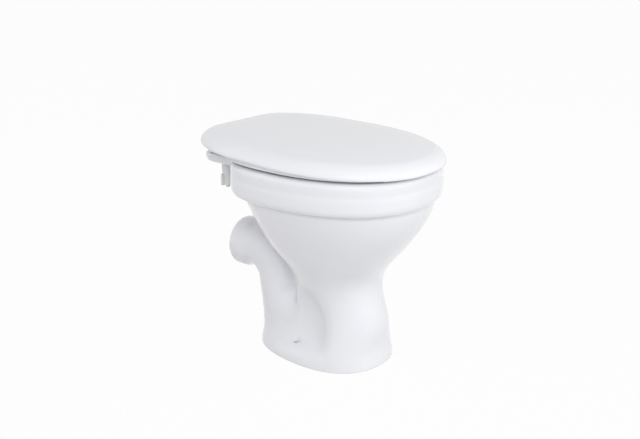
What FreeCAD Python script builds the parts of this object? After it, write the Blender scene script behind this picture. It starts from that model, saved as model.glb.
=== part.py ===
import FreeCAD, Part
import math
import os
from FreeCAD import Placement, Rotation, Vector

# Floor-standing toilet pan with a horizontal outlet, its seat and its lid.
# Millimetres, +Z up. The origin is on the floor, midway between the two floor-fixing holes.
# The front of the bowl faces -Y, the outlet and the flush inlet face +Y.

doc = FreeCAD.newDocument("toilet")
sheet = doc.addObject("Spreadsheet::Sheet", "sizes")

# Driving dimensions: alias, value, meaning
SIZES = (
    ("rim_top", 388.5, "height of the rim's flat top above the floor"),
    ("rim_half_width", 178.0, "half the width of the rim band"),
    ("rim_wide_y", -14.0, "where the rim band is widest"),
    ("rim_front", 235.0, "reach of the rim band in front of the fixings"),
    ("rim_rear", 140.0, "reach of the rim band behind the fixings"),
    ("band_height", 60.0, "height of the rim band over the groove below it"),
    ("band_edge_width", 9.0, "width of the rim band's rounded edges"),
    ("opening_edge_width", 8.0, "width of the rounded edge round the rim opening"),
    ("opening_half_width", 116.0, "half the width of the opening in the rim"),
    ("opening_wide_y", -38.0, "where the rim opening is widest"),
    ("opening_front", 166.0, "reach of the rim opening to the front"),
    ("opening_rear", 100.0, "reach of the rim opening to the rear"),
    ("rim_underside", 341.0, "height of the underside of the rim inside the bowl"),
    ("bowl_half_width", 168.0, "half the width of the bowl right under the band"),
    ("bowl_front", 230.0, "reach of the bowl's outside to the front"),
    ("bowl_rear", 129.0, "reach of the bowl's outside to the rear"),
    ("china_wall", 12.0, "thickness of the fired china wall"),
    ("foot_half_width", 106.0, "half the width of the foot"),
    ("foot_wide_y", -29.5, "where the foot is widest"),
    ("foot_front", 152.0, "reach of the foot to the front"),
    ("foot_rear", 130.0, "reach of the foot to the rear"),
    ("foot_slope_height", 42.0, "height at which the foot's sloping flange ends"),
    ("foot_slope_width", 46.0, "width of the foot's sloping flange"),
    ("web_half_width", 60.0, "half the width of the web between column and trap, at the floor"),
    ("web_front", 60.0, "reach of the web to the front, inside the column"),
    ("web_rear", 112.0, "reach of the web to the rear, inside the trap's leg"),
    ("web_top", 200.0, "height of the top of the web"),
    ("leg_y", 104.0, "distance of the trap's rising leg behind the fixings"),
    ("leg_radius", 45.0, "outside radius of the trap's rising leg"),
    ("leg_foot_y", 91.0, "distance of the leg's foot behind the fixings, on the floor"),
    ("trap_bore_radius", 34.0, "inside radius of the trap"),
    ("trap_bend_radius", 57.5, "centre-line radius of the trap's lower bend"),
    ("trap_bend_height", 112.0, "height of the centre of the trap's lower bend"),
    ("elbow_radius", 60.0, "centre-line radius of the elbow to the outlet"),
    ("outlet_height", 176.0, "height of the outlet's centre line above the floor"),
    ("outlet_y", 203.0, "distance of the outlet's end behind the fixings"),
    ("outlet_radius", 51.0, "outside radius of the outlet spigot"),
    ("outlet_bore_radius", 43.0, "inside radius of the outlet spigot"),
    ("outlet_straight", 26.0, "straight length of the outlet spigot's bell"),
    ("deck_half_width", 122.0, "half the width of the hinge deck"),
    ("deck_rear", 203.0, "reach of the hinge deck to the rear"),
    ("deck_front", 60.0, "where the deck starts inside the rim"),
    ("deck_thickness", 20.0, "thickness of the hinge deck"),
    ("deck_corner_radius", 32.0, "rounding of the deck's rear corners"),
    ("deck_edge_radius", 4.0, "rounding of the deck's upper edge"),
    ("deck_low_edge_radius", 11.0, "rounding of the deck's lower edge"),
    ("horn_height", 340.0, "height of the flush inlet's centre line"),
    ("horn_y", 188.0, "distance of the flush inlet's end behind the fixings"),
    ("horn_radius", 37.0, "outside radius of the flush inlet"),
    ("horn_bore_radius", 27.5, "inside radius of the flush inlet"),
    ("horn_bore_depth", 66.0, "depth of the flush inlet's bore, into the rim's channel"),
    ("channel_top", 377.0, "height of the roof of the rim's water channel"),
    ("channel_floor", 350.0, "height of the floor of the rim's water channel"),
    ("channel_wall", 11.0, "china beside the rim's water channel"),
    ("rim_hole_radius", 3.0, "radius of the flushing holes under the rim"),
    ("fixing_x", 76.0, "distance of a floor-fixing hole from the middle"),
    ("fixing_hole_radius", 5.5, "radius of a floor-fixing hole"),
    ("fixing_seat_radius", 8.5, "radius of the flat round a floor-fixing hole"),
    ("fixing_seat_height", 33.0, "height of the flat round a floor-fixing hole"),
    ("scoop_x", 128.0, "distance of a side recess's centre from the middle"),
    ("scoop_y", -18.0, "place of a side recess's centre along the pan"),
    ("scoop_z", 80.0, "height of a side recess's centre"),
    ("scoop_reach_x", 74.0, "half the size of a side recess across the pan"),
    ("scoop_reach_y", 82.0, "half the size of a side recess along the pan"),
    ("scoop_reach_z", 95.0, "half the height of a side recess"),
    ("hollow_half_width", 78.0, "half the width of the hollow under the column"),
    ("hollow_front", 136.0, "front of the hollow under the column"),
    ("hollow_rear", 56.0, "rear of the hollow under the column, in front of the trap"),
    ("hollow_height", 120.0, "height of the hollow under the column"),
    ("hinge_x", 77.5, "distance of a hinge bolt from the middle"),
    ("hinge_y", 172.0, "distance of the hinge bolts behind the fixings"),
    ("hinge_hole_radius", 7.5, "radius of a hinge hole in the deck"),
    ("axis_y", 206.0, "distance of the hinge axis behind the fixings"),
    ("axis_height", 414.0, "height of the hinge axis above the floor"),
    ("eye_radius", 8.0, "radius of every hinge eye"),
    ("pin_radius", 3.0, "radius of a hinge pin"),
    ("running_clearance", 0.05, "radial clearance of a turning or sliding fit"),
    ("side_clearance", 0.5, "clearance beside a part that turns"),
    ("pad_thickness", 1.0, "thickness of the pad under a hinge post"),
    ("post_radius", 18.0, "radius of a hinge post's base"),
    ("post_height", 12.0, "height of a hinge post's base"),
    ("post_edge_radius", 2.5, "rounding of a hinge post's top edge"),
    ("post_arm_width", 10.0, "width of the arm of a hinge post along the axis"),
    ("post_arm_root", 4.5, "depth of the arm's root below the base's top"),
    ("lug_width", 8.0, "width of a lug of the seat or lid along the axis"),
    ("seat_lug_x", 50.0, "inner face of a seat lug from the middle"),
    ("lid_lug_x", 83.0, "inner face of a lid lug from the middle"),
    ("bush_wall", 1.4, "wall of a nylon bush"),
    ("pin_head_radius", 5.0, "radius of a pin's head"),
    ("pin_head_height", 2.0, "height of a pin's head"),
    ("pin_tip", 1.5, "length of a pin beyond its clip"),
    ("clip_thickness", 1.2, "thickness of a pin's retaining clip"),
    ("clip_radius", 5.6, "radius of a pin's retaining clip"),
    ("bolt_radius", 4.0, "radius of a hinge bolt"),
    ("bolt_head_flats", 13.0, "width across the flats of a bolt head"),
    ("bolt_head_height", 5.3, "height of a bolt head"),
    ("bolt_recess_radius", 9.0, "radius of the recess for a bolt head"),
    ("bolt_recess_depth", 8.0, "depth of the recess for a bolt head"),
    ("bolt_end_height", 313.0, "height of the lower end of a hinge bolt"),
    ("cap_height", 3.0, "height of the cap over a bolt head"),
    ("cap_dome_radius", 28.0, "radius of a cap's domed top"),
    ("seal_radius", 12.5, "largest radius of a conical sealing washer"),
    ("seal_height", 6.0, "height of a conical sealing washer below the deck"),
    ("washer_radius", 12.0, "radius of a flat washer"),
    ("washer_thickness", 2.0, "thickness of a flat washer"),
    ("nut_radius", 10.5, "radius of a wing nut's body"),
    ("nut_height", 42.0, "height of a wing nut"),
    ("wing_reach", 16.5, "reach of a wing from the nut's centre"),
    ("wing_thickness", 4.0, "thickness of a wing"),
    ("wing_height", 22.0, "height of a wing"),
    ("lid_half_width", 176.0, "half the width of the lid"),
    ("lid_wide_y", -20.0, "where the lid is widest"),
    ("lid_front", 243.0, "reach of the lid to the front"),
    ("lid_rear", 223.0, "reach of the lid to the rear"),
    ("lid_lip_height", 407.7, "height of the lid's lip at its rear edge"),
    ("lid_height", 30.0, "height of the lid from lip to crown"),
    ("lid_edge_height", 28.0, "height of the lid's rounded edge"),
    ("lid_edge_width", 55.0, "width of the lid's rounded edge"),
    ("lid_tilt", 2.0, "slope of the closed lid towards the front, in degrees"),
    ("lid_wall", 3.5, "wall of the lid"),
    ("lid_lip_inset", 1.0, "how far the lid's lip is drawn in"),
    ("lid_lug_reach", 34.0, "length of a lid lug ahead of the axis"),
    ("notch_half_width", 7.0, "half the width of the lid's notch at a hinge post"),
    ("notch_start", 3.0, "how far behind the axis a notch starts"),
    ("rib_thickness", 2.4, "thickness of the ribs under the lid"),
    ("rib_depth", 7.0, "depth of the ribs under the lid"),
    ("seat_inset", 6.8, "distance of the seat's edge inside the lid's edge"),
    ("seat_rear", 148.0, "reach of the seat ring to the rear"),
    ("seat_underside", 391.5, "height of the seat's underside above the floor"),
    ("seat_height", 17.0, "height of the seat ring's crest"),
    ("seat_edge_height", 9.0, "height of the seat ring's outer wall"),
    ("seat_hole_half_width", 113.0, "half the width of the hole in the seat"),
    ("seat_hole_wide_y", -40.0, "where the hole in the seat is widest"),
    ("seat_hole_front", 172.0, "reach of the seat's hole to the front"),
    ("seat_hole_rear", 92.0, "reach of the seat's hole to the rear"),
    ("seat_wall", 4.0, "wall of the seat moulding"),
    ("seat_crown_width", 26.0, "width of the seat's rounded outer edge"),
    ("seat_lip_width", 20.0, "width of the rounded edge round the seat's hole"),
    ("seat_hollow_depth", 8.0, "depth of the hollow under the seat"),
    ("seat_lug_root", 16.0, "how far a seat lug runs into the ring"),
    ("buffer_length", 34.0, "length of a seat buffer"),
    ("buffer_width", 10.0, "width of a seat buffer"),
    ("buffer_front_x", 138.0, "distance of a front seat buffer from the middle"),
    ("buffer_front_y", -100.0, "place of the front seat buffers"),
    ("buffer_rear_x", 124.0, "distance of a rear seat buffer from the middle"),
    ("buffer_rear_y", 72.0, "place of the rear seat buffers"),
    ("buffer_seat", 6.0, "how deep a seat buffer's stud goes into the seat"),
    ("buffer_stud_radius", 3.0, "radius of a seat buffer's stud"),
    ("rest_gap", 0.2, "gap under a buffer of a closed seat or lid"),
    ("lid_buffer_radius", 6.0, "radius of a lid buffer"),
    ("lid_buffer_height", 4.0, "height of a lid buffer below its boss"),
    ("lid_buffer_front_x", 129.0, "distance of a front lid buffer from the middle"),
    ("lid_buffer_front_y", -100.0, "place of the front lid buffers"),
    ("lid_buffer_rear_x", 112.0, "distance of a rear lid buffer from the middle"),
    ("lid_buffer_rear_y", 96.0, "place of the rear lid buffers"),
    ("overrun", 2.0, "how far a cutting solid runs past a face"),
)
for row, (alias, value, meaning) in enumerate(SIZES, 1):
    sheet.set("A%d" % row, meaning)
    sheet.set("B%d" % row, repr(value))
    sheet.setAlias("B%d" % row, alias)
doc.recompute()


class Sizes:
    """Reads a driving dimension from the sheet by its alias."""

    def __getattr__(self, alias):
        return float(sheet.get(alias))


s = Sizes()
X_AXIS = Vector(1, 0, 0)
Y_AXIS = Vector(0, 1, 0)
Z_AXIS = Vector(0, 0, 1)
SECTION_POINTS = 64
FINE_STEPS = 240
RIM_HOLES = 30
RIB_SHARES = (-0.36, 0.0, 0.36)
CROSS_RIB_SHARES = (-0.56, -0.14, 0.28)


def spaced(points, count):
    """The same run of points, resampled at equal distances into count stretches."""
    lengths = [0]
    for here, following in zip(points, points[1:]):
        lengths.append(lengths[-1] + math.dist(here, following))
    result = []
    index = 0
    for step in range(count + 1):
        target = lengths[-1] * step / count
        while index < len(points) - 2 and lengths[index + 1] < target:
            index += 1
        share = (target - lengths[index]) / (lengths[index + 1] - lengths[index])
        here, following = points[index], points[index + 1]
        result.append(tuple(a + share * (b - a) for a, b in zip(here, following)))
    return result


def outline(half, wide_y, front, rear, height, front_power=2.2, rear_power=2.2, rear_share=1,
            narrowing_power=2):
    """A closed egg-like plan outline, symmetric about X = 0.

    It is a superellipse quarter from the front centre to the widest place and another from
    there to the rear centre. A high rear power gives a straight back with rounded corners,
    and rear_share is the width there as a share of the full width. A high narrowing power
    keeps the outline wide for longer before it draws in."""
    side = []
    for step in range(FINE_STEPS + 1):
        turn = math.pi / 2 * step / FINE_STEPS
        across = math.sin(turn) ** (2 / front_power)
        along = math.cos(turn) ** (2 / front_power)
        side.append((half * across, wide_y - (wide_y + front) * along))
    for step in range(1, FINE_STEPS + 1):
        turn = math.pi / 2 * step / FINE_STEPS
        across = math.cos(turn) ** (2 / rear_power)
        along = math.sin(turn) ** (2 / rear_power)
        narrowing = 1 - (1 - rear_share) * along ** narrowing_power
        side.append((half * narrowing * across, wide_y + (rear - wide_y) * along))
    side = spaced(side, SECTION_POINTS // 2)
    points = [Vector(x, y, height) for x, y in side]
    points += [Vector(-x, y, height) for x, y in side[-2:0:-1]]
    curve = Part.BSplineCurve()
    curve.interpolate(Points=points, PeriodicFlag=True,
                      Parameters=[float(step) for step in range(len(points) + 1)])
    return Part.Wire([curve.toShape()])


def loft(sections):
    """A smooth closed solid through plan outlines."""
    return Part.makeLoft(sections, True, False)


def prism(section, height):
    """A straight solid standing on a plan outline."""
    return Part.Face(section).extrude(Z_AXIS * height)


def cylinder(radius, start, end):
    """A round bar from one point to another."""
    return Part.makeCylinder(radius, (end - start).Length, start, end - start)


def cone(first_radius, last_radius, start, end):
    """A round taper from one point to another."""
    return Part.makeCone(first_radius, last_radius, (end - start).Length, start, end - start)


def block(low, high):
    """A box between two opposite corners."""
    span = high - low
    return Part.makeBox(span.x, span.y, span.z, low)


def pipe(radius, path):
    """A round tube body along a path of tangent edges."""
    start = path[0].valueAt(path[0].FirstParameter)
    heading = path[0].tangentAt(path[0].FirstParameter)
    circle = Part.Wire([Part.makeCircle(radius, start, heading)])
    return Part.Wire(path).makePipeShell([circle], True, False)


def arc(start, middle, end):
    """The edge of the arc through three points."""
    return Part.Arc(start, middle, end).toShape()


def line(start, end):
    """The edge of a straight run."""
    return Part.makeLine(start, end)


def feature(name, shape):
    """Puts a finished shape in the document under its own name."""
    piece = doc.addObject("Part::Feature", name)
    piece.Shape = shape
    return piece


groove_height = s.rim_top - s.band_height
deck_underside = s.rim_top - s.deck_thickness
inner_half_width = s.bowl_half_width - s.china_wall
inner_front = s.bowl_front - s.china_wall
inner_rear = s.bowl_rear - s.china_wall


# Pan: one casting of vitreous china. Rim band, bowl and column, foot, web, trap, deck and inlet.

# The rim band, from the groove up to the flat top: share of the band's height below the top,
# share of the edge's width that the outline is drawn in
BAND_SHARES = ((1.0, 0.72), (0.96, 0.4), (0.89, 0.16), (0.75, 0.04), (0.5, 0.0),
               (0.15, 0.05), (0.07, 0.2), (0.02, 0.52), (0.0, 1.0))


def rim_outline(inset, height):
    """The rim band's outline, drawn in by an inset."""
    return outline(s.rim_half_width - inset, s.rim_wide_y, s.rim_front - inset,
                   s.rim_rear - inset, height, front_power=2.3, rear_power=2.7)


def opening_outline(outset, height):
    """The outline of the opening in the rim, widened by an outset."""
    return outline(s.opening_half_width + outset, s.opening_wide_y, s.opening_front + outset,
                   s.opening_rear + outset, height)


rim_band = loft([rim_outline(drawn_in * s.band_edge_width, s.rim_top - below * s.band_height)
                 for below, drawn_in in BAND_SHARES])

# Bowl and column, from the floor up: shares of the groove's height, of the bowl's half width,
# of its front reach (the widest place, then the front) and of its rear reach
BOWL_SHARES = ((0.0, 0.616, -0.194, 0.665, 0.305), (0.183, 0.53, -0.203, 0.636, 0.281),
               (0.35, 0.461, -0.207, 0.586, 0.293), (0.472, 0.5, -0.21, 0.547, 0.312),
               (0.609, 0.637, -0.179, 0.656, 0.464), (0.761, 0.804, -0.128, 0.828, 0.752),
               (0.913, 0.937, -0.098, 0.953, 0.916), (1.0, 0.985, -0.074, 0.98, 0.995),
               (1.05, 0.99, -0.07, 0.985, 1.0))
bowl = loft([outline(half * s.bowl_half_width, wide * s.bowl_front, front * s.bowl_front,
                     rear * s.bowl_rear, up * groove_height)
             for up, half, wide, front, rear in BOWL_SHARES])

# Foot with its sloping flange: share of the slope's height, share of its width drawn in
FOOT_SHARES = ((0.0, 0.0), (0.28, 0.015), (0.46, 0.08), (0.62, 0.22), (0.75, 0.45), (0.87, 0.72),
               (1.0, 1.0))
foot = loft([outline(s.foot_half_width - drawn_in * s.foot_slope_width, s.foot_wide_y,
                     s.foot_front - drawn_in * s.foot_slope_width,
                     s.foot_rear - drawn_in * s.foot_slope_width, up * s.foot_slope_height,
                     rear_power=2.4, rear_share=0.96)
             for up, drawn_in in FOOT_SHARES])

# Web between the column and the trap's leg: share of its height, share of its half width
WEB_SHARES = ((0.0, 1.0), (0.26, 0.99), (0.37, 0.92), (0.45, 0.75), (0.53, 0.5), (0.62, 0.3),
              (0.78, 0.22), (0.92, 0.19), (1.0, 0.16))
web_middle = (s.web_rear - s.web_front) / 2
web = loft([outline(half * s.web_half_width, web_middle, s.web_front, s.web_rear,
                    up * s.web_top, front_power=3, rear_power=3)
            for up, half in WEB_SHARES])

# The trap's centre line: down from the bowl, round the lower bend, up the leg, round the elbow
bend_y = s.leg_y - s.trap_bend_radius
drop_y = bend_y - s.trap_bend_radius
elbow_y = s.leg_y + s.elbow_radius
elbow_z = s.outlet_height - s.elbow_radius
half_root = math.sqrt(0.5)
leg_foot = Vector(0, s.leg_foot_y, 0)
drop_top = Vector(0, drop_y, s.trap_bend_height + s.trap_bore_radius / 2)
bend_start = Vector(0, drop_y, s.trap_bend_height)
bend_low = Vector(0, bend_y, s.trap_bend_height - s.trap_bend_radius)
bend_end = Vector(0, s.leg_y, s.trap_bend_height)
elbow_start = Vector(0, s.leg_y, elbow_z)
elbow_middle = Vector(0, elbow_y - half_root * s.elbow_radius,
                      elbow_z + half_root * s.elbow_radius)
elbow_end = Vector(0, elbow_y, s.outlet_height)
bell_start = Vector(0, s.outlet_y - s.outlet_straight, s.outlet_height)
outlet_end = Vector(0, s.outlet_y, s.outlet_height)
past_outlet = outlet_end + Y_AXIS * s.overrun

below_floor = block(Vector(-s.leg_radius, 0, -s.leg_radius), Vector(s.leg_radius, s.outlet_y, 0))
leg = cylinder(s.leg_radius, leg_foot, elbow_start).cut(below_floor)
knee = Part.makeSphere(s.leg_radius, elbow_start)
elbow = pipe(s.leg_radius, [arc(elbow_start, elbow_middle, elbow_end)])
bell = cone(s.leg_radius, s.outlet_radius, elbow_end, bell_start)
spigot = cylinder(s.outlet_radius, bell_start, outlet_end)

# Hinge deck, a plate behind the rim with rounded corners and edges
deck = block(Vector(-s.deck_half_width, s.deck_front, deck_underside),
             Vector(s.deck_half_width, s.deck_rear, s.rim_top))
rear_corners = [edge for edge in deck.Edges
                if edge.BoundBox.YMin > s.deck_rear - s.overrun
                and edge.BoundBox.ZLength > s.deck_thickness / 2]
deck = deck.makeFillet(s.deck_corner_radius, rear_corners)


def level_edges(solid, height):
    """The deck's edges at one height, without the hidden front one."""
    return [edge for edge in solid.Edges
            if abs(edge.BoundBox.ZMin - height) + edge.BoundBox.ZLength < s.overrun
            and edge.BoundBox.YMax > s.deck_front + s.overrun]


deck = deck.makeFillet(s.deck_edge_radius, level_edges(deck, s.rim_top))
deck = deck.makeFillet(s.deck_low_edge_radius, level_edges(deck, deck_underside))

# Flush inlet, a short horn under the deck
horn_end = Vector(0, s.horn_y, s.horn_height)
horn = cylinder(s.horn_radius, Vector(0, s.opening_rear, s.horn_height), horn_end)

# Recesses at both sides of the column, which make room for the floor fixings
scoops = []
for side in (-1, 1):
    scale = FreeCAD.Matrix()
    scale.scale(s.scoop_reach_x, s.scoop_reach_y, s.scoop_reach_z)
    scoop = Part.makeSphere(1).transformGeometry(scale)
    scoop.translate(Vector(side * s.scoop_x, s.scoop_y, s.scoop_z))
    scoops.append(scoop)
column = bowl.fuse(web).cut(scoops)

china = rim_band.fuse([column, foot, leg, knee, elbow, bell, spigot, deck, horn])

# Hollow of the bowl under the rim, from the rim's underside down to the trap: shares of the
# underside's height, of the inside half width, of the inside front reach (the widest place,
# then the front) and of the inside rear reach
CAVITY_SHARES = ((1.0, 0.936, -0.075, 0.94, 0.957), (0.88, 0.928, -0.083, 0.947, 0.897),
                 (0.733, 0.776, -0.112, 0.803, 0.7), (0.587, 0.596, -0.158, 0.619, 0.393),
                 (0.47, 0.404, -0.165, 0.484, 0.199), (0.41, 0.282, -0.093, 0.307, 0.181),
                 (0.365, 0.22, -0.056, 0.219, 0.185))
cavity = loft([outline(half * inner_half_width, wide * inner_front, front * inner_front,
                       rear * inner_rear, up * s.rim_underside)
               for up, half, wide, front, rear in CAVITY_SHARES])

# The opening in the rim, with a rounded inner edge: share of the way up from the rim's
# underside, share of the edge's width that it is widened by
OPENING_SHARES = ((-0.05, 0.0), (0.3, 0.0), (0.7, 0.0), (0.86, 0.06), (0.94, 0.24), (1.0, 0.65),
                  (1.03, 1.0))
opening = loft([opening_outline(widened * s.opening_edge_width,
                                s.rim_underside + up * (s.rim_top - s.rim_underside))
                for up, widened in OPENING_SHARES])

trap = pipe(s.trap_bore_radius, [line(drop_top, bend_start), arc(bend_start, bend_low, bend_end),
                                 line(bend_end, elbow_start),
                                 arc(elbow_start, elbow_middle, elbow_end)])
bell_bore = cone(s.trap_bore_radius, s.outlet_bore_radius, elbow_end, bell_start)
outlet_bore = cylinder(s.outlet_bore_radius, bell_start, past_outlet)

horn_bore = cylinder(s.horn_bore_radius, horn_end - Y_AXIS * s.horn_bore_depth,
                     horn_end + Y_AXIS * s.overrun)
channel_height = s.channel_top - s.channel_floor
channel = prism(rim_outline(s.channel_wall, s.channel_floor), channel_height).cut(
    prism(opening_outline(s.channel_wall, s.channel_floor), channel_height))

# Flushing holes in the channel's floor, round the front and sides of the rim
rim_hole_line = opening_outline(s.channel_wall + 2 * s.rim_hole_radius, s.rim_underside)
rim_holes = [cylinder(s.rim_hole_radius, place - Z_AXIS * s.overrun,
                      place + Z_AXIS * (s.channel_floor - s.rim_underside + s.overrun))
             for place in rim_hole_line.discretize(RIM_HOLES + 1)[1:]
             if place.y < s.opening_rear / 2]

# Hollow under the column, in front of the trap: share of its height, share of its half width
HOLLOW_SHARES = ((0.0, 1.0), (0.5, 0.9), (0.85, 0.72), (1.0, 0.5))
hollow_middle = -(s.hollow_front + s.hollow_rear) / 2
hollow_reach = (s.hollow_front - s.hollow_rear) / 2
hollow = loft([outline(half * s.hollow_half_width, hollow_middle,
                       half * hollow_reach - hollow_middle, half * hollow_reach + hollow_middle,
                       up * (s.hollow_height + s.overrun) - s.overrun)
               for up, half in HOLLOW_SHARES])

# Holes for the floor fixings, each with a flat round it, and for the hinge bolts
holes = []
for side in (-1, 1):
    fixing = Vector(side * s.fixing_x, 0, 0)
    hinge = Vector(side * s.hinge_x, s.hinge_y, 0)
    holes.append(cylinder(s.fixing_hole_radius, fixing - Z_AXIS * s.overrun,
                          fixing + Z_AXIS * s.foot_slope_height))
    holes.append(cylinder(s.fixing_seat_radius, fixing + Z_AXIS * s.fixing_seat_height,
                          fixing + Z_AXIS * (s.foot_slope_height + s.overrun)))
    holes.append(cylinder(s.hinge_hole_radius, hinge + Z_AXIS * (deck_underside - s.overrun),
                          hinge + Z_AXIS * (s.rim_top + s.overrun)))

china = china.cut([cavity, opening, trap, bell_bore, outlet_bore, horn_bore, channel, hollow])
china = china.cut(holes + rim_holes)
pan = feature("pan", china.removeSplitter())


# Seat: a moulded ring, crowned on top and hollow below, with two lugs at the rear
def seat_outline(inset, height):
    """The seat's outer outline, drawn in by an inset."""
    edge = s.seat_inset + inset
    return outline(s.lid_half_width - edge, s.lid_wide_y, s.lid_front - edge,
                   s.seat_rear - inset, height, rear_power=5, rear_share=0.84)


def seat_hole_outline(outset, height):
    """The outline of the hole in the seat, widened by an outset."""
    return outline(s.seat_hole_half_width + outset, s.seat_hole_wide_y,
                   s.seat_hole_front + outset, s.seat_hole_rear + outset, height)


def rounded_levels(start, rise, width, steps=6):
    """Heights and insets of a rounded edge, from upright to flat."""
    for step in range(steps + 1):
        turn = math.pi / 2 * step / steps
        yield start + rise * math.sin(turn), width * (1 - math.cos(turn))


seat_crest = s.seat_underside + s.seat_height
seat_shoulder = s.seat_underside + s.seat_edge_height
crown_rise = s.seat_height - s.seat_edge_height
edge_softening = s.seat_wall / 3
seat_sections = [seat_outline(edge_softening, s.seat_underside),
                 seat_outline(0, s.seat_underside + edge_softening)]
seat_sections += [seat_outline(inset, height) for height, inset in
                  rounded_levels(seat_shoulder, crown_rise, s.seat_crown_width)]
hole_sections = [seat_hole_outline(0, s.seat_underside - s.overrun),
                 seat_hole_outline(0, s.seat_underside + s.seat_wall)]
hole_sections += [seat_hole_outline(s.seat_lip_width - inset, height) for height, inset in
                  rounded_levels(seat_crest, -(s.seat_height - s.seat_wall), s.seat_lip_width)][:-1][::-1]
hole_sections.append(seat_hole_outline(s.seat_lip_width + s.overrun, seat_crest + s.overrun))
ring = loft(seat_sections).cut(loft(hole_sections))

hollow_low = s.seat_underside - s.overrun
seat_hollow = prism(seat_outline(s.seat_crown_width / 2, hollow_low), s.seat_hollow_depth + s.overrun)
seat_hollow = seat_hollow.cut(
    prism(seat_hole_outline(s.seat_lip_width, hollow_low), s.seat_hollow_depth + s.overrun))
ring = ring.cut(seat_hollow)

axis_point = Vector(0, s.axis_y, s.axis_height)
eye_top = axis_point + Z_AXIS * s.eye_radius
eye_low = axis_point - (Y_AXIS + Z_AXIS) * (half_root * s.eye_radius)
buffer_places = [Vector(side * x, y, s.rim_top)
                 for x, y in ((s.buffer_front_x, s.buffer_front_y),
                              (s.buffer_rear_x, s.buffer_rear_y)) for side in (-1, 1)]
buffer_gap = s.seat_underside - s.rim_top
boss_half = Vector(s.buffer_width / 2 + s.seat_wall, s.buffer_length / 2 + s.seat_wall, 0)
bosses = [block(place - boss_half + Z_AXIS * buffer_gap,
                place + boss_half + Z_AXIS * (buffer_gap + s.seat_hollow_depth + s.overrun))
          for place in buffer_places]
sockets = [cylinder(s.buffer_stud_radius + s.running_clearance, place,
                    place + Z_AXIS * (buffer_gap + s.buffer_seat)) for place in buffer_places]


def lug_start(inner_x, side):
    """The lower X of a lug whose inner face is at a distance from the middle."""
    return inner_x if side > 0 else -inner_x - s.lug_width


def lug(inner_x, side, foot_low, foot_high):
    """A flat lug along the hinge axis: an eye, and a web that runs from it to two foot points.

    The foot points are places in the YZ plane, and the web's other corners lie on the eye."""
    start_x = lug_start(inner_x, side)
    eye = cylinder(s.eye_radius, axis_point + X_AXIS * start_x,
                   axis_point + X_AXIS * (start_x + s.lug_width))
    corners = [Vector(start_x, place.y, place.z) for place in (foot_low, foot_high, eye_top, eye_low)]
    corners.append(corners[0])
    return eye.fuse(Part.Face(Part.makePolygon(corners)).extrude(X_AXIS * s.lug_width))


def eye_bore(inner_x, side, radius):
    """The bore through one lug."""
    start_x = lug_start(inner_x, side)
    return cylinder(radius, axis_point + X_AXIS * (start_x - s.overrun),
                    axis_point + X_AXIS * (start_x + s.lug_width + s.overrun))


bush_radius = s.pin_radius + s.running_clearance + s.bush_wall
bush_seat_radius = bush_radius + s.running_clearance
seat_lug_low = Vector(0, s.seat_rear - s.seat_lug_root, s.seat_underside)
seat_lug_high = Vector(0, s.seat_rear - s.seat_lug_root, seat_crest - s.seat_wall)
seat_lugs = [lug(s.seat_lug_x, side, seat_lug_low, seat_lug_high) for side in (-1, 1)]
seat_shape = ring.fuse(bosses + seat_lugs)
seat_shape = seat_shape.cut(sockets + [eye_bore(s.seat_lug_x, side, bush_seat_radius)
                                       for side in (-1, 1)])
seat_ring = feature("seat_ring", seat_shape.removeSplitter())


# Lid: a moulded shell with a soft edge, ribs and two lugs inside, notched at the hinge posts
def lid_outline(inset, height):
    """The lid's outline, drawn in by an inset, before the lid is tilted."""
    return outline(s.lid_half_width - inset, s.lid_wide_y, s.lid_front - inset,
                   s.lid_rear - inset, height, rear_power=12, rear_share=0.58,
                   narrowing_power=3.2)


def lid_solid(wall, start_below):
    """The lid's outside, or with a wall its inside, standing on the lip's plane."""
    sections = [lid_outline(s.lid_lip_inset + wall, -start_below)]
    sections += [lid_outline(wall + inset, height) for height, inset in
                 rounded_levels(s.lid_height - s.lid_edge_height, s.lid_edge_height - wall,
                                s.lid_edge_width - wall)]
    solid = loft(sections)
    solid.Placement = Placement(Vector(0, 0, s.lid_lip_height), Rotation(X_AXIS, s.lid_tilt),
                                Vector(0, s.lid_rear, 0))
    return solid


lid_outside = lid_solid(0, 0)
lid_inside = lid_solid(s.lid_wall, s.overrun)
lid_shell = lid_outside.cut(lid_inside)

lid_top = s.lid_lip_height + s.lid_height
lid_lug_low = Vector(0, s.axis_y - s.lid_lug_reach, s.axis_height)
lid_lug_high = Vector(0, s.axis_y - s.lid_lug_reach, s.axis_height + s.eye_radius)
lid_lugs = [lug(s.lid_lug_x, side, lid_lug_low, lid_lug_high) for side in (-1, 1)]
lug_backs = [block(Vector(lug_start(s.lid_lug_x, side), s.axis_y - s.lid_lug_reach,
                          s.axis_height),
                   Vector(lug_start(s.lid_lug_x, side) + s.lug_width, s.axis_y + s.eye_radius,
                          lid_top)) for side in (-1, 1)]

# Ribs across and along the crown, cut to the lid's outside
rib_reach = s.lid_half_width
ribs = []
for share in RIB_SHARES:
    across = share * s.lid_half_width
    ribs.append(block(Vector(across - s.rib_thickness / 2, -s.lid_front, -s.rib_depth),
                      Vector(across + s.rib_thickness / 2, s.lid_rear, s.lid_wall)))
for share in CROSS_RIB_SHARES:
    along = share * s.lid_front
    ribs.append(block(Vector(-rib_reach, along - s.rib_thickness / 2, -s.rib_depth),
                      Vector(rib_reach, along + s.rib_thickness / 2, s.lid_wall)))
crown_inside = Placement(Vector(0, 0, lid_top - s.lid_wall), Rotation(X_AXIS, s.lid_tilt),
                         Vector(0, s.lid_rear, 0))
for rib in ribs:
    rib.Placement = crown_inside

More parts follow.
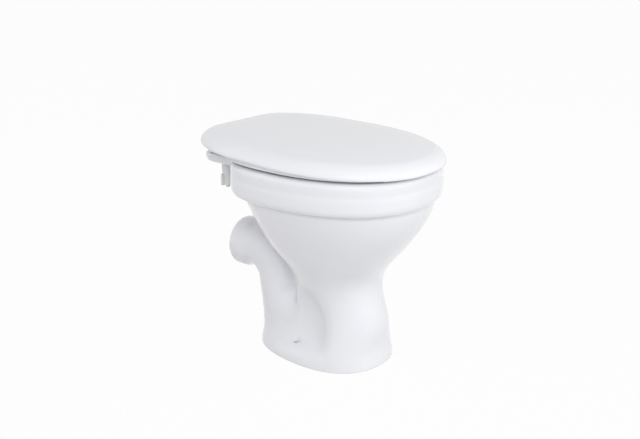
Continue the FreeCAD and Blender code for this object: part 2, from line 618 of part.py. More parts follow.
# Bosses that carry the lid's buffers over the seat's crest
lid_buffer_places = [Vector(side * x, y, seat_crest + s.rest_gap)
                     for x, y in ((s.lid_buffer_front_x, s.lid_buffer_front_y),
                                  (s.lid_buffer_rear_x, s.lid_buffer_rear_y)) for side in (-1, 1)]
lid_bosses = [cylinder(s.lid_buffer_radius, place + Z_AXIS * s.lid_buffer_height,
                       place + Z_AXIS * (s.lid_height + s.lid_buffer_height))
              for place in lid_buffer_places]
inner_work = ribs[0].fuse(ribs[1:] + lid_bosses + lug_backs).common(lid_outside)

# Notches in the rear wall, where the posts' arms stand when the lid is up
notches = [block(Vector(side * s.hinge_x - s.notch_half_width, s.axis_y + s.notch_start,
                        s.lid_lip_height - s.overrun),
                 Vector(side * s.hinge_x + s.notch_half_width, s.lid_rear + s.overrun, lid_top))
           for side in (-1, 1)]
lid_shape = lid_shell.fuse([inner_work] + lid_lugs)
lid_shape = lid_shape.cut(notches + [eye_bore(s.lid_lug_x, side, bush_seat_radius)
                                     for side in (-1, 1)])
lid = feature("lid", lid_shape.removeSplitter())


# Hinge posts: a round base on the deck with a recess for the bolt head, and an arm to the axis
post_low = s.rim_top + s.pad_thickness
post_top = post_low + s.post_height


def post(side):
    """One hinge post, standing on its pad at one side of the deck."""
    foot_point = Vector(side * s.hinge_x, s.hinge_y, 0)
    base = cylinder(s.post_radius, foot_point + Z_AXIS * post_low, foot_point + Z_AXIS * post_top)
    top_edge = [edge for edge in base.Edges
                if edge.BoundBox.ZMin > post_top - s.pad_thickness
                and edge.BoundBox.ZLength < s.pad_thickness]
    base = base.makeFillet(s.post_edge_radius, top_edge)
    root_y = s.hinge_y + s.bolt_recess_radius + s.side_clearance
    half_arm = s.post_arm_width / 2
    start_x = side * s.hinge_x - half_arm
    across = Vector(start_x, 0, 0)
    eye = cylinder(s.eye_radius, axis_point + across, axis_point + across + X_AXIS * s.post_arm_width)
    corners = [Vector(start_x, root_y, post_top - s.post_arm_root),
               Vector(start_x, root_y, post_top), eye_top + across, eye_low + across]
    corners.append(corners[0])
    arm = Part.Face(Part.makePolygon(corners)).extrude(X_AXIS * s.post_arm_width)
    bolt_hole = cylinder(s.bolt_radius + s.running_clearance,
                         foot_point + Z_AXIS * (post_low - s.overrun),
                         foot_point + Z_AXIS * post_top)
    recess = cylinder(s.bolt_recess_radius, foot_point + Z_AXIS * (post_top - s.bolt_recess_depth),
                      foot_point + Z_AXIS * (post_top + s.overrun))
    pin_hole = cylinder(s.pin_radius + s.running_clearance, axis_point + across - X_AXIS * s.overrun,
                        axis_point + across + X_AXIS * (s.post_arm_width + s.overrun))
    return base.fuse([arm, eye]).cut([bolt_hole, recess, pin_hole]).removeSplitter()


left_post = feature("left_hinge_post", post(1))
right_post = feature("right_hinge_post", post(-1))


def primitive(kind, name, place, sideways=False, **lengths):
    """A Part primitive whose lengths and place are expressions of the sheet's cells."""
    piece = doc.addObject("Part::" + kind, name)
    if sideways:
        piece.Placement = Placement(Vector(), Rotation(Z_AXIS, X_AXIS))
    for direction, text in zip("xyz", place):
        piece.setExpression("Placement.Base." + direction, text)
    for length, text in lengths.items():
        piece.setExpression(length, text)
    return piece


def fused(name, *pieces):
    """The union of several pieces."""
    piece = doc.addObject("Part::MultiFuse", name)
    piece.Shapes = pieces
    return piece


def cut(name, base, tool):
    """A piece with a tool taken out of it."""
    piece = doc.addObject("Part::Cut", name)
    piece.Base = base
    piece.Tool = tool
    return piece


def shared(name, first, second):
    """What two pieces have in common."""
    piece = doc.addObject("Part::Common", name)
    piece.Base = first
    piece.Tool = second
    return piece


def mirrored(name, source):
    """The same piece on the other side of the middle plane."""
    piece = doc.addObject("Part::Mirroring", name)
    piece.Source = source
    piece.Normal = X_AXIS
    return piece


def group(name, *pieces):
    """Like pieces that share one node."""
    piece = doc.addObject("Part::Compound", name)
    piece.Links = pieces
    return piece


# Hinge pins of steel, each with a head outside the lid's lug and a clip inside the seat's lug
clip_x = "sizes.seat_lug_x - sizes.side_clearance - sizes.clip_thickness"
head_x = "sizes.lid_lug_x + sizes.lug_width + sizes.side_clearance"
AXIS_YZ = ("sizes.axis_y", "sizes.axis_height")
pin_shaft = primitive("Cylinder", "pin_shaft", (clip_x + " - sizes.pin_tip",) + AXIS_YZ, True,
                      Radius="sizes.pin_radius",
                      Height=head_x + " - (" + clip_x + ") + sizes.pin_tip")
pin_head = primitive("Cylinder", "pin_head", (head_x,) + AXIS_YZ, True,
                     Radius="sizes.pin_head_radius", Height="sizes.pin_head_height")
left_pin = fused("left_hinge_pin", pin_shaft, pin_head)
right_pin = mirrored("right_hinge_pin", left_pin)

clip_disc = primitive("Cylinder", "clip_disc", (clip_x,) + AXIS_YZ, True,
                      Radius="sizes.clip_radius", Height="sizes.clip_thickness")
clip_hole = primitive("Cylinder", "clip_hole", (clip_x + " - sizes.overrun",) + AXIS_YZ, True,
                      Radius="sizes.pin_radius + sizes.running_clearance",
                      Height="sizes.clip_thickness + 2 * sizes.overrun")
left_clip = cut("left_pin_clip", clip_disc, clip_hole)
pin_clips = group("pin_clips", left_clip, mirrored("right_pin_clip", left_clip))


# Nylon bushes in the lugs
def bushes(name, lug_x):
    """The pair of bushes in the two lugs that start at a distance from the middle."""
    body = primitive("Cylinder", name + "_body", (lug_x,) + AXIS_YZ, True,
                     Radius="sizes.pin_radius + sizes.running_clearance + sizes.bush_wall",
                     Height="sizes.lug_width")
    bore = primitive("Cylinder", name + "_bore", (lug_x + " - sizes.overrun",) + AXIS_YZ, True,
                     Radius="sizes.pin_radius + sizes.running_clearance",
                     Height="sizes.lug_width + 2 * sizes.overrun")
    one = cut(name + "_left", body, bore)
    return group(name, one, mirrored(name + "_right", one))


seat_bushes = bushes("seat_lug_bushes", "sizes.seat_lug_x")
lid_bushes = bushes("lid_lug_bushes", "sizes.lid_lug_x")

# What stands on a hinge bolt's centre line, from the cap down to the wing nut
HINGE_XY = ("sizes.hinge_x", "sizes.hinge_y")
POST_TOP = "sizes.rim_top + sizes.pad_thickness + sizes.post_height"
RECESS_FLOOR = POST_TOP + " - sizes.bolt_recess_depth"
DECK_UNDERSIDE = "sizes.rim_top - sizes.deck_thickness"
SEAL_LOW = DECK_UNDERSIDE + " - sizes.seal_height"
WASHER_LOW = SEAL_LOW + " - sizes.washer_thickness"
NUT_LOW = WASHER_LOW + " - sizes.nut_height"
BOLT_BORE = "sizes.bolt_radius + sizes.running_clearance"


def bored(name, outside, low, height):
    """A piece on the bolt with the bolt's clearance hole through it."""
    bore = primitive("Cylinder", name + "_bore", HINGE_XY + (low + " - sizes.overrun",),
                     Radius=BOLT_BORE, Height=height + " + 2 * sizes.overrun")
    return cut(name + "_one", outside, bore)


def pair(name, one):
    """The same piece at both hinge bolts."""
    return group(name, one, mirrored(name + "_other", one))


cap_disc = primitive("Cylinder", "cap_disc", HINGE_XY + (POST_TOP + " - sizes.cap_height / 2",),
                     Radius="sizes.bolt_recess_radius - sizes.running_clearance",
                     Height="sizes.cap_height")
cap_dome = primitive("Sphere", "cap_dome",
                     HINGE_XY + (POST_TOP + " + sizes.cap_height / 2 - sizes.cap_dome_radius",),
                     Radius="sizes.cap_dome_radius")
left_cap = shared("left_hinge_cap", cap_disc, cap_dome)
right_cap = mirrored("right_hinge_cap", left_cap)

bolt_shank = primitive("Cylinder", "bolt_shank", HINGE_XY + ("sizes.bolt_end_height",),
                       Radius="sizes.bolt_radius",
                       Height=RECESS_FLOOR + " + sizes.bolt_head_height / 2 - sizes.bolt_end_height")
bolt_head = primitive("Prism", "bolt_head", HINGE_XY + (RECESS_FLOOR,),
                      Circumradius="sizes.bolt_head_flats / 2 / cos(30 deg)",
                      Height="sizes.bolt_head_height")
hinge_bolts = pair("hinge_bolts", fused("left_bolt", bolt_shank, bolt_head))

pad_disc = primitive("Cylinder", "pad_disc", HINGE_XY + ("sizes.rim_top",),
                     Radius="sizes.post_radius", Height="sizes.pad_thickness")
post_pads = pair("hinge_post_pads", bored("pad", pad_disc, "sizes.rim_top", "sizes.pad_thickness"))

seal_cone = primitive("Cone", "seal_cone", HINGE_XY + (SEAL_LOW,),
                      Radius1="sizes.seal_radius", Radius2="sizes.hinge_hole_radius",
                      Height="sizes.seal_height")
sealing_washers = pair("sealing_washers", bored("seal", seal_cone, SEAL_LOW, "sizes.seal_height"))

washer_disc = primitive("Cylinder", "washer_disc", HINGE_XY + (WASHER_LOW,),
                        Radius="sizes.washer_radius", Height="sizes.washer_thickness")
flat_washers = pair("flat_washers",
                    bored("washer", washer_disc, WASHER_LOW, "sizes.washer_thickness"))

nut_body = primitive("Cylinder", "nut_body", HINGE_XY + (NUT_LOW,),
                     Radius="sizes.nut_radius", Height="sizes.nut_height")
nut_wings = primitive("Box", "nut_wings", ("sizes.hinge_x - sizes.wing_reach",
                                           "sizes.hinge_y - sizes.wing_thickness / 2", NUT_LOW),
                      Length="2 * sizes.wing_reach", Width="sizes.wing_thickness",
                      Height="sizes.wing_height")
wing_nuts = pair("wing_nuts", bored("nut", fused("nut_outside", nut_body, nut_wings),
                                    NUT_LOW, "sizes.nut_height"))


# Buffers of soft plastic: four under the seat, each on a stud, and four under the lid
def seat_buffer_pair(name, x_text, y_text):
    """Two seat buffers at one distance along the seat."""
    pad = primitive("Box", name + "_pad",
                    (x_text + " - sizes.buffer_width / 2", y_text + " - sizes.buffer_length / 2",
                     "sizes.rim_top + sizes.rest_gap"),
                    Length="sizes.buffer_width", Width="sizes.buffer_length",
                    Height="sizes.seat_underside - sizes.rim_top - sizes.rest_gap")
    stud = primitive("Cylinder", name + "_stud",
                     (x_text, y_text, "sizes.rim_top + sizes.rest_gap"),
                     Radius="sizes.buffer_stud_radius",
                     Height="sizes.seat_underside - sizes.rim_top - 2 * sizes.rest_gap + sizes.buffer_seat")
    return pair(name, fused(name + "_one", pad, stud))


front_seat_buffers = seat_buffer_pair("front_seat_buffers", "sizes.buffer_front_x",
                                      "sizes.buffer_front_y")
rear_seat_buffers = seat_buffer_pair("rear_seat_buffers", "sizes.buffer_rear_x",
                                     "sizes.buffer_rear_y")


def lid_buffer_pair(name, x_text, y_text):
    """Two round lid buffers, each on the end of its boss."""
    return pair(name, primitive("Cylinder", name + "_one",
                                (x_text, y_text, "sizes.seat_underside + sizes.seat_height + sizes.rest_gap"),
                                Radius="sizes.lid_buffer_radius", Height="sizes.lid_buffer_height"))


front_lid_buffers = lid_buffer_pair("front_lid_buffers", "sizes.lid_buffer_front_x",
                                    "sizes.lid_buffer_front_y")
rear_lid_buffers = lid_buffer_pair("rear_lid_buffers", "sizes.lid_buffer_rear_x",
                                   "sizes.lid_buffer_rear_y")

doc.recompute()

NODES = (pan, seat_ring, lid, left_post, right_post, left_cap, right_cap, left_pin, right_pin,
         pin_clips, seat_bushes, lid_bushes, hinge_bolts, post_pads, sealing_washers,
         flat_washers, wing_nuts, front_seat_buffers, rear_seat_buffers, front_lid_buffers,
         rear_lid_buffers)
for piece in doc.Objects:
    if "Invalid" in piece.State or "Error" in piece.State:
        raise ValueError("failed object: " + piece.Name)
for piece in NODES:
    if piece.Shape.isNull() or not piece.Shape.isValid():
        raise ValueError("bad shape: " + piece.Name)
os.makedirs("parts", exist_ok=True)
for piece in NODES:
    piece.Label = piece.Name
    piece.Shape.exportStep("parts/" + piece.Label + ".step")
    print(piece.Label, len(piece.Shape.Solids), round(piece.Shape.Volume))
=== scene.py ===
import math

import bmesh
import bpy
import numpy as np
from mathutils import Matrix, Vector, geometry


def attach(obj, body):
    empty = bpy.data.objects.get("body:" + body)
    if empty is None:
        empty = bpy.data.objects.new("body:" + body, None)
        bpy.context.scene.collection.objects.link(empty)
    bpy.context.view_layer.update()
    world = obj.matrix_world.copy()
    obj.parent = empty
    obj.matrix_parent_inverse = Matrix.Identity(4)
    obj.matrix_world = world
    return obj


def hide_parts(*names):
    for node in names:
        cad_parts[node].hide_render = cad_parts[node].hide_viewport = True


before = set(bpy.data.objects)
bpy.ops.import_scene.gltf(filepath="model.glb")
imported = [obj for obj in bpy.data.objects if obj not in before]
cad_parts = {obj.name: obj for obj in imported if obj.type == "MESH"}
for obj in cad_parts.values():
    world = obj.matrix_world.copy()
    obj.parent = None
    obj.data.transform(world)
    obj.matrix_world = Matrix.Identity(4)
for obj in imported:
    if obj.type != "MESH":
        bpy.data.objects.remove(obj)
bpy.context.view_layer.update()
scene = bpy.context.scene


# Pan: rim, bowl, column, foot, trap and spigots are one casting of vitreous china, glazed white
# all over but for the ground ring it stands on, and screwed to the floor at each side of its foot.
# Slip casting leaves soft hollows where the solid's faces meet, so they are melted together here.
PAN_SQUARE = 0.0025
PAN_LENGTHENED = 0.02
PAN_DRAW = 0.5
PAN_LEAST_SHARE = 0.14
PAN_ROUNDS = 60
PAN_LOW_ROUNDS = 120
SAME_PLACE = 1e-6
ON_FLOOR = 1e-5
ON_CUT = 1e-7


def new_piece(name, mesh):
    """A shown object with that mesh, at the origin."""
    piece = bpy.data.objects.new(name, mesh)
    scene.collection.objects.link(piece)
    return piece


def squared(part, name, square, lengthened=0.0):
    """A new piece in the shape of a CAD node, whose surface is made of small squares.

    Lengthened, its underside on the floor moves down, and is to be cut off level later."""
    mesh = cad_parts[part].data.copy()
    mesh.materials.clear()
    shell = bmesh.new()
    shell.from_mesh(mesh)
    bmesh.ops.remove_doubles(shell, verts=shell.verts, dist=SAME_PLACE)
    for point in shell.verts:
        if point.co.z < ON_FLOOR:
            point.co.z -= lengthened
    shell.to_mesh(mesh)
    shell.free()
    rough = new_piece(name + "_rough", mesh)
    remesh = rough.modifiers.new("squares", "REMESH")
    remesh.mode = "VOXEL"
    remesh.voxel_size = square
    bpy.context.view_layer.update()
    evaluated = rough.evaluated_get(bpy.context.evaluated_depsgraph_get())
    fine = bpy.data.meshes.new_from_object(evaluated)
    fine.name = name
    bpy.data.objects.remove(rough)
    return new_piece(name, fine)


def points_of(piece):
    """The places of a piece's points as rows of x, y, z."""
    places = np.empty(len(piece.data.vertices) * 3)
    piece.data.vertices.foreach_get("co", places)
    return places.reshape(-1, 3)


def put_points(piece, places):
    """Moves a piece's points to these places and shades it smooth."""
    piece.data.vertices.foreach_set("co", places.ravel())
    piece.data.shade_smooth()
    piece.data.update()


def smoothed(piece, places, draw, rounds):
    """Each point drawn towards the middle of its neighbours, by one share or its own, in rounds."""
    ends = np.empty(len(piece.data.edges) * 2, int)
    piece.data.edges.foreach_get("vertices", ends)
    first, second = ends.reshape(-1, 2).T
    count = len(places)
    neighbours = np.bincount(ends, minlength=count)[:, None]
    draw = np.broadcast_to(draw, count)[:, None]
    for _ in range(rounds):
        total = np.stack([np.bincount(first, places[second, axis], count)
                          + np.bincount(second, places[first, axis], count)
                          for axis in range(3)], axis=1)
        places = places + draw * (total / neighbours - places)
    return places


def ramp(values, start, end):
    """0 before start and 1 after end, with a soft change between."""
    share = np.clip((values - start) / (end - start), 0, 1)
    return share * share * (3 - 2 * share)


pan = squared("pan", "glazed_pan", PAN_SQUARE, PAN_LENGTHENED)
places = points_of(pan)
x, y, z = places.T

# The rim band, the outlet spigot and the edges of the floor fixing holes get the least smoothing.
# Each pair is where the softness starts to change and where it has changed.
RIM_BAND_HEIGHTS = (0.296, 0.318)
OUTLET_DEPTHS = (0.172, 0.196)
FIXING_FROM_MIDDLE = 0.076
FIXING_EDGE_RADII = (0.007, 0.012)
FOOT_TOP = 0.05

softness = (1 - ramp(z, *RIM_BAND_HEIGHTS)) * (1 - ramp(y, *OUTLET_DEPTHS))
for side in (-1, 1):
    from_hole = np.hypot(x - side * FIXING_FROM_MIDDLE, y)
    softness *= np.where(z < FOOT_TOP, ramp(from_hole, *FIXING_EDGE_RADII), 1)

# The fold between the column and the hollow behind it is crisper than the other joints.
FOLD_CRISPNESS = 0.6
FOLD_LOW_HEIGHTS = (0.095, 0.125)
FOLD_HIGH_HEIGHTS = (0.27, 0.3)
FOLD_DEPTHS = (-0.035, 0.0)

fold = ramp(z, *FOLD_LOW_HEIGHTS) * (1 - ramp(z, *FOLD_HIGH_HEIGHTS)) * ramp(y, *FOLD_DEPTHS)
softness *= 1 - FOLD_CRISPNESS * fold
draw = PAN_DRAW * (PAN_LEAST_SHARE + (1 - PAN_LEAST_SHARE) * softness)
places = smoothed(pan, places, draw, PAN_ROUNDS)

# The column's sweep into the foot is the softest of all, but for the part behind it that lies
# above the foot.
SWEEP_HEIGHTS = (0.13, 0.17)
BEHIND_HEIGHTS = (0.08, 0.1)
BEHIND_DEPTHS = (-0.03, 0.0)

behind = ramp(z, *BEHIND_HEIGHTS) * ramp(y, *BEHIND_DEPTHS)
sweep = softness * (1 - ramp(z, *SWEEP_HEIGHTS)) * (1 - behind)
put_points(pan, smoothed(pan, places, PAN_DRAW * sweep, PAN_LOW_ROUNDS))

# The lengthened foot is cut level with the floor and closed by a flat sole.
cut = bmesh.new()
cut.from_mesh(pan.data)
level = bmesh.ops.bisect_plane(cut, geom=[*cut.verts, *cut.edges, *cut.faces], dist=ON_CUT,
                               plane_co=(0, 0, 0), plane_no=(0, 0, -1), clear_outer=True)
rings = [edge for edge in level["geom_cut"] if isinstance(edge, bmesh.types.BMEdge)]
sole = bmesh.ops.triangle_fill(cut, edges=rings, normal=(0, 0, -1))
for face in [new for new in sole["geom"] if isinstance(new, bmesh.types.BMFace)]:
    face.smooth = False
for edge in rings:
    edge.smooth = False
cut.to_mesh(pan.data)
cut.free()


def surface_of(material):
    """A material's surface shader."""
    return material.node_tree.nodes["Principled BSDF"]


def new_material(name, colour, roughness, **settings):
    """A procedural material whose surface shader has these plain settings."""
    material = bpy.data.materials.new(name)
    material.use_nodes = True
    surface = surface_of(material)
    surface.inputs["Base Color"].default_value = (*colour, 1)
    surface.inputs["Roughness"].default_value = roughness
    for setting, value in settings.items():
        surface.inputs[setting.replace("_", " ")].default_value = value
    return material


def join(material, socket, source):
    """Links an output to a socket of the material's surface shader."""
    material.node_tree.links.new(surface_of(material).inputs[socket], source)


def node(owner, kind, links=(), **values):
    """A node of a material or world: its links as (its input, output it comes from), its values."""
    new = owner.node_tree.nodes.new(kind)
    for key, value in values.items():
        if key[0].isupper():
            new.inputs[key.replace("_", " ")].default_value = value
        else:
            setattr(new, key, value)
    for socket, source in links:
        owner.node_tree.links.new(new.inputs[socket], source)
    return new


def blend(material, share, first, second):
    """A colour between two, each a plain colour or another node's output."""
    mix = node(material, "ShaderNodeMix", [(0, share)], data_type="RGBA")
    for socket, colour in ((mix.inputs[6], first), (mix.inputs[7], second)):
        if isinstance(colour, tuple):
            socket.default_value = (*colour, 1)
        else:
            material.node_tree.links.new(socket, colour)
    return mix.outputs[2]


def between(material, value, start, end, low=0.0, high=1.0):
    """Low where the value is at the start and high where it is at the end, clamped."""
    return node(material, "ShaderNodeMapRange", [("Value", value)], From_Min=start, From_Max=end,
                To_Min=low, To_Max=high).outputs["Result"]


def mottled(name, colours, cloud_scale, roughnesses, bump_height, bump_scale, **settings):
    """A material with faint clouds of colour and gloss, and a fine waviness of its surface."""
    material = new_material(name, colours[0], roughnesses[0], **settings)
    place = node(material, "ShaderNodeTexCoord").outputs["Object"]
    cloud = node(material, "ShaderNodeTexNoise", [("Vector", place)], Scale=cloud_scale)
    cloud = cloud.outputs["Fac"]
    join(material, "Base Color", blend(material, cloud, *colours))
    join(material, "Roughness", between(material, cloud, 0.0, 1.0, *roughnesses))
    waves = node(material, "ShaderNodeTexNoise", [("Vector", place)], Scale=bump_scale)
    bump = node(material, "ShaderNodeBump", [("Height", waves.outputs["Fac"])],
                Strength=1.0, Distance=bump_height)
    join(material, "Normal", bump.outputs["Normal"])
    return material


# Painted shade darkens the glaze colour in the hollows, and a painted highlight lightens it over
# the edges.
# Below it, at the floor, the ground china is bare.
GLAZE_COAT = 0.8
PAINTED_HOLLOW_SHADE = (0.6, 0.61, 0.66)
HOLLOW_BENDS = (0.5, 0.45)
PAINTED_EDGE_HIGHLIGHT = (0.87, 0.872, 0.895)
EDGE_BENDS = (0.51, 0.55)
BARE_CHINA = (0.72, 0.7, 0.65)
BARE_HEIGHT = 0.0006
GLAZED_HEIGHT = 0.0016

china = mottled("glazed_china", ((0.797, 0.801, 0.838), (0.800, 0.804, 0.841)), cloud_scale=1.2,
                roughnesses=(0.2, 0.265), bump_height=0.00002, bump_scale=22.0,
                Coat_Weight=GLAZE_COAT, Coat_Roughness=0.04, Coat_IOR=1.5)
bend = node(china, "ShaderNodeNewGeometry").outputs["Pointiness"]
place = node(china, "ShaderNodeTexCoord").outputs["Object"]
height = node(china, "ShaderNodeSeparateXYZ", [("Vector", place)]).outputs["Z"]
tint = surface_of(china).inputs["Base Color"].links[0].from_socket
# Painted shade: the colour is darkened where the surface is hollow.
tint = blend(china, between(china, bend, *HOLLOW_BENDS), tint, PAINTED_HOLLOW_SHADE)
# Painted highlight: the colour is lightened where the surface bends over an edge.
tint = blend(china, between(china, bend, *EDGE_BENDS), tint, PAINTED_EDGE_HIGHLIGHT)
bare = between(china, height, GLAZED_HEIGHT, BARE_HEIGHT)
join(china, "Base Color", blend(china, bare, tint, BARE_CHINA))
join(china, "Coat Weight", between(china, height, BARE_HEIGHT, GLAZED_HEIGHT, 0.0, GLAZE_COAT))


def finished(piece, material, slot, body=None, *replaced):
    """Gives a piece its material, and the body and CAD nodes that it stands for; the slot is not
    used.
    """
    piece.data.materials.clear()
    piece.data.materials.append(material)
    if body:
        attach(piece, body)
    if replaced:
        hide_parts(*replaced)


finished(pan, china, "china", "pan", "pan")


# Hinge fixings: through each hole of the deck goes a steel bolt with a hexagon head. From below a
# rubber cone, a nylon washer and a tall nylon wing nut clamp it. The posts stand on soft pads.
soft = mottled("soft_plastic", ((0.68, 0.69, 0.7), (0.72, 0.73, 0.74)), cloud_scale=150.0,
               roughnesses=(0.52, 0.66), bump_height=0.00002, bump_scale=700.0)
steel = mottled("brushed_steel", ((0.52, 0.52, 0.53), (0.58, 0.58, 0.59)), cloud_scale=900.0,
                roughnesses=(0.28, 0.42), bump_height=0.000006, bump_scale=1500.0, Metallic=1.0)
rubber = mottled("rubber", ((0.035, 0.035, 0.037), (0.05, 0.05, 0.052)), cloud_scale=250.0,
                 roughnesses=(0.6, 0.8), bump_height=0.00004, bump_scale=500.0)
nylon = mottled("nylon", ((0.76, 0.76, 0.77), (0.79, 0.79, 0.8)), cloud_scale=120.0,
                roughnesses=(0.4, 0.52), bump_height=0.00001, bump_scale=900.0)

for part, material, slot in (("hinge_post_pads", soft, "soft_plastic"),
                             ("hinge_bolts", steel, "pin_steel"),
                             ("sealing_washers", rubber, "rubber"),
                             ("flat_washers", nylon, "nylon"), ("wing_nuts", nylon, "nylon")):
    finished(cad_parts[part], material, slot)


# Hinge posts and caps: each post is moulded in one piece, a round base on the deck with an arm
# that holds the hinge's axis. A domed cap closes the recess over the bolt's head.
moulded = mottled("moulded_plastic", ((0.79, 0.795, 0.82), (0.81, 0.815, 0.84)), cloud_scale=40.0,
                  roughnesses=(0.3, 0.42), bump_height=0.00003, bump_scale=600.0)

for part in ("left_hinge_post", "right_hinge_post", "left_hinge_cap", "right_hinge_cap"):
    finished(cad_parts[part], moulded, "hinge_plastic")


# Hinge pins, clips and bushes: a steel pin runs through the lid's lug, the post's arm and the
# seat's lug, with a head at its outer end and a clip at its inner end. The lugs turn on it in
# nylon bushes.
for part in ("left_hinge_pin", "right_hinge_pin", "pin_clips"):
    finished(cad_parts[part], steel, "pin_steel")
for part in ("seat_lug_bushes", "lid_lug_bushes"):
    finished(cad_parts[part], nylon, "nylon")


# Seat ring: moulded in gloss plastic, crowned on top and hollow below, with two lugs at its rear.
# Its edges are eased a little, as they come out of the mould.
SEAT_SQUARE = 0.0015
SEAT_DRAW = 0.3
SEAT_ROUNDS = 6

plastic = mottled("gloss_plastic", ((0.820, 0.825, 0.859), (0.824, 0.829, 0.862)), cloud_scale=1.2,
                  roughnesses=(0.28, 0.36), bump_height=0.00004, bump_scale=140.0,
                  Coat_Weight=0.3, Coat_Roughness=0.12)
seat = squared("seat_ring", "seat_moulding", SEAT_SQUARE)
put_points(seat, smoothed(seat, points_of(seat), SEAT_DRAW, SEAT_ROUNDS))
finished(seat, plastic, "seat_plastic", "seat", "seat_ring")


# Seat buffers: four blocks of soft plastic below the seat, which rests on the rim on them. Each is
# held by a stud of its own that is pushed into a socket in the seat.
for part in ("front_seat_buffers", "rear_seat_buffers"):
    finished(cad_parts[part], soft, "soft_plastic")


# Lid: a shell moulded in the same gloss plastic as the seat, with a soft rolled edge and a slight
# crown. Ribs, bosses and two lugs stand inside it.
LID_SQUARE = 0.0013
LID_DRAW = 0.4
LID_ROUNDS = 10

lid = squared("lid", "lid_moulding", LID_SQUARE)
places = smoothed(lid, points_of(lid), LID_DRAW, LID_ROUNDS)

# The lid's outline in plan, and how far inside it each point lies. Near a corner the distances to
# both sides are merged, so that the crown has no ridges.
OUTLINE_MARKS = 400
NEARNESS = 6
STRAIGHT_EDGE = math.sqrt(math.pi) * math.gamma((NEARNESS - 1) / 2) / math.gamma(NEARNESS / 2)
NEVER_ZERO = 1e-9

corners = places[geometry.convex_hull_2d(places[:, :2].tolist()), :2]
corners = np.vstack([corners, corners[:1]])
along = np.r_[0, np.cumsum(np.hypot(*np.diff(corners, axis=0).T))]
steps = np.linspace(0, along[-1], OUTLINE_MARKS, endpoint=False)
outline = np.stack([np.interp(steps, along, corners[:, axis]) for axis in range(2)], axis=1)
closeness = np.zeros(len(places))
for mark in outline:
    apart = np.sum((places[:, :2] - mark) ** 2, axis=1) + NEVER_ZERO
    closeness += steps[1] * apart ** (-NEARNESS / 2)
inside = (closeness / STRAIGHT_EDGE) ** (-1 / (NEARNESS - 1))

# The solid's rolled edge is a quarter of an ellipse that meets a flat top. It is eased into the
# top, and the top is raised to the crown. Each pair is a distance inside the outline.
LID_EDGE_RISE = 0.028
LID_EDGE_WIDTH = 0.055
LID_EASE = 0.026
EASE_REACH = 0.08
EASE_STEP = 0.001
EASE_SPAN = (-0.1, 0.3)
EASE_START = (0.018, 0.05)
LID_CROWN = 0.005
CROWN_RISE = (0.01, 0.15)

across = np.arange(*EASE_SPAN, EASE_STEP)
rolled = LID_EDGE_RISE * np.sqrt(1 - np.clip(1 - across / LID_EDGE_WIDTH, 0, 1) ** 2)
bell_marks = np.arange(-EASE_REACH, EASE_REACH + EASE_STEP / 10, EASE_STEP)
bell = np.exp(-0.5 * (bell_marks / LID_EASE) ** 2)
eased = np.convolve(rolled, bell / bell.sum(), "same") - rolled
easing = np.interp(inside, across, eased) * ramp(inside, *EASE_START)
places[:, 2] += easing + LID_CROWN * ramp(inside, *CROWN_RISE)
put_points(lid, places)

# The upper face is then smoothed once more by itself.
UPWARD_SHARES = (0.3, 0.7)
UPPER_FACE_START = (0.015, 0.04)
UPPER_FACE_DRAW = 0.5
UPPER_FACE_ROUNDS = 200

facing = np.empty(len(places) * 3)
lid.data.vertices.foreach_get("normal", facing)
on_top = ramp(facing.reshape(-1, 3)[:, 2], *UPWARD_SHARES) * ramp(inside, *UPPER_FACE_START)
put_points(lid, smoothed(lid, places, UPPER_FACE_DRAW * on_top, UPPER_FACE_ROUNDS))
finished(lid, plastic, "seat_plastic", "lid", "lid")


# Lid buffers: four round feet of soft plastic on the ends of the lid's bosses. The closed lid
# rests on the seat on them.
for part in ("front_lid_buffers", "rear_lid_buffers"):
    finished(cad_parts[part], soft, "soft_plastic")


# Studio: a white floor that runs out of the picture, under soft round lamps and an even light from
# all round. Seen straight, in gloss or through glass, floor and backdrop are white.
WHITE = (1, 1, 1, 1)
FLOOR_ACROSS = 60
FLOOR_LOWERED = 0.0002
FLOOR_PAPER = (0.6, 0.6, 0.6)
FLOOR_PAPER_ROUGHNESS = 0.9
FLOOR_SEEN_WHITE = 0.97
EVEN_LIGHT = 0.304


def white_share(owner, seen_white):
    """How much of the white a ray meets: that share seen straight, and all in gloss or glass."""
    ray = node(owner, "ShaderNodeLightPath").outputs
    share = node(owner, "ShaderNodeMath", [(0, ray["Is Camera Ray"])], operation="MULTIPLY")
    share.inputs[1].default_value = seen_white
    for kind in ("Is Glossy Ray", "Is Transmission Ray"):
        share = node(owner, "ShaderNodeMath", [(0, share.outputs[0]), (1, ray[kind])],
                     operation="MAXIMUM")
    return share.outputs[0]


bpy.ops.mesh.primitive_plane_add(size=FLOOR_ACROSS)
floor = bpy.context.object
floor.name = "studio_floor"
floor.location.z = -FLOOR_LOWERED
paper = new_material("floor_paper", FLOOR_PAPER, FLOOR_PAPER_ROUGHNESS)
white = node(paper, "ShaderNodeEmission", Color=WHITE, Strength=1.0)
mixed = node(paper, "ShaderNodeMixShader", [(0, white_share(paper, FLOOR_SEEN_WHITE)),
                                            (1, surface_of(paper).outputs[0]),
                                            (2, white.outputs[0])])
paper.node_tree.links.new(paper.node_tree.nodes["Material Output"].inputs["Surface"],
                          mixed.outputs[0])
floor.data.materials.append(paper)

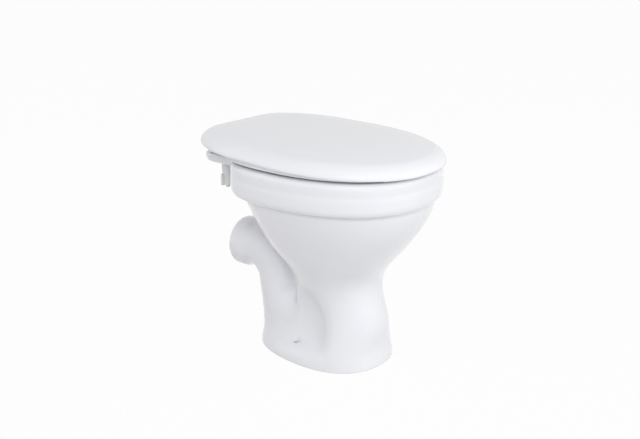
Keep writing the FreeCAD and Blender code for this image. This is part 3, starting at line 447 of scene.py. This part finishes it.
world = bpy.data.worlds.new("studio")
world.use_nodes = True
world.node_tree.nodes.clear()
scene.world = world
light = node(world, "ShaderNodeBackground", Color=WHITE, Strength=EVEN_LIGHT)
backdrop = node(world, "ShaderNodeBackground", Color=WHITE, Strength=1.0)
choice = node(world, "ShaderNodeMixShader", [(0, white_share(world, 1.0)), (1, light.outputs[0]),
                                             (2, backdrop.outputs[0])])
node(world, "ShaderNodeOutputWorld", [("Surface", choice.outputs[0])])

# Each lamp's name, place, width and power. All are aimed at the middle of the toilet, and none
# shows as a spot in the gloss.
LAMPS = (("camera_side_lamp", (-2.2, -1.8, 1.5), 2.2, 44.3),
         ("high_lamp", (-1.6, -1.4, 2.6), 2.2, 14.6),
         ("front_lamp", (0.6, -2.5, 0.8), 2.2, 16.3),
         ("right_lamp", (1.9, -1.8, 1.0), 2.2, 16.2),
         ("rear_lamp", (-1.4, 2.2, 1.2), 2.0, 14.2),
         ("top_lamp", (0.0, 0.0, 2.8), 2.2, 6.3))
LAMPS_AIM = Vector((0, 0, 0.25))

for name, stand, width, power in LAMPS:
    lamp = bpy.data.lights.new(name, "AREA")
    lamp.shape = "DISK"
    lamp.size = width
    lamp.energy = power
    holder = bpy.data.objects.new(name, lamp)
    holder.location = stand
    holder.visible_glossy = False
    aim = LAMPS_AIM - holder.location
    holder.rotation_euler = aim.to_track_quat("-Z", "Y").to_euler()
    scene.collection.objects.link(holder)

# The camera stands in front of the toilet's right side, a little above it.
CAMERA_STAND = (-1.2467, -1.0027, 0.783)
CAMERA_AZIMUTH = math.radians(-51.1)
CAMERA_ELEVATION = math.radians(18.1)
CAMERA_LENS = 49.22
CAMERA_SENSOR = 36

camera = bpy.data.objects.new("camera", bpy.data.cameras.new("camera"))
camera.data.sensor_width = CAMERA_SENSOR
camera.data.lens = CAMERA_LENS
back = Vector((math.sin(CAMERA_AZIMUTH) * math.cos(CAMERA_ELEVATION),
               -math.cos(CAMERA_AZIMUTH) * math.cos(CAMERA_ELEVATION),
               math.sin(CAMERA_ELEVATION)))
right = Vector((math.cos(CAMERA_AZIMUTH), math.sin(CAMERA_AZIMUTH), 0))
up = back.cross(right)
turned = Matrix((right, up, back)).transposed().to_4x4()
camera.matrix_world = Matrix.Translation(CAMERA_STAND) @ turned
scene.collection.objects.link(camera)
scene.camera = camera
scene.view_settings.view_transform = "Standard"
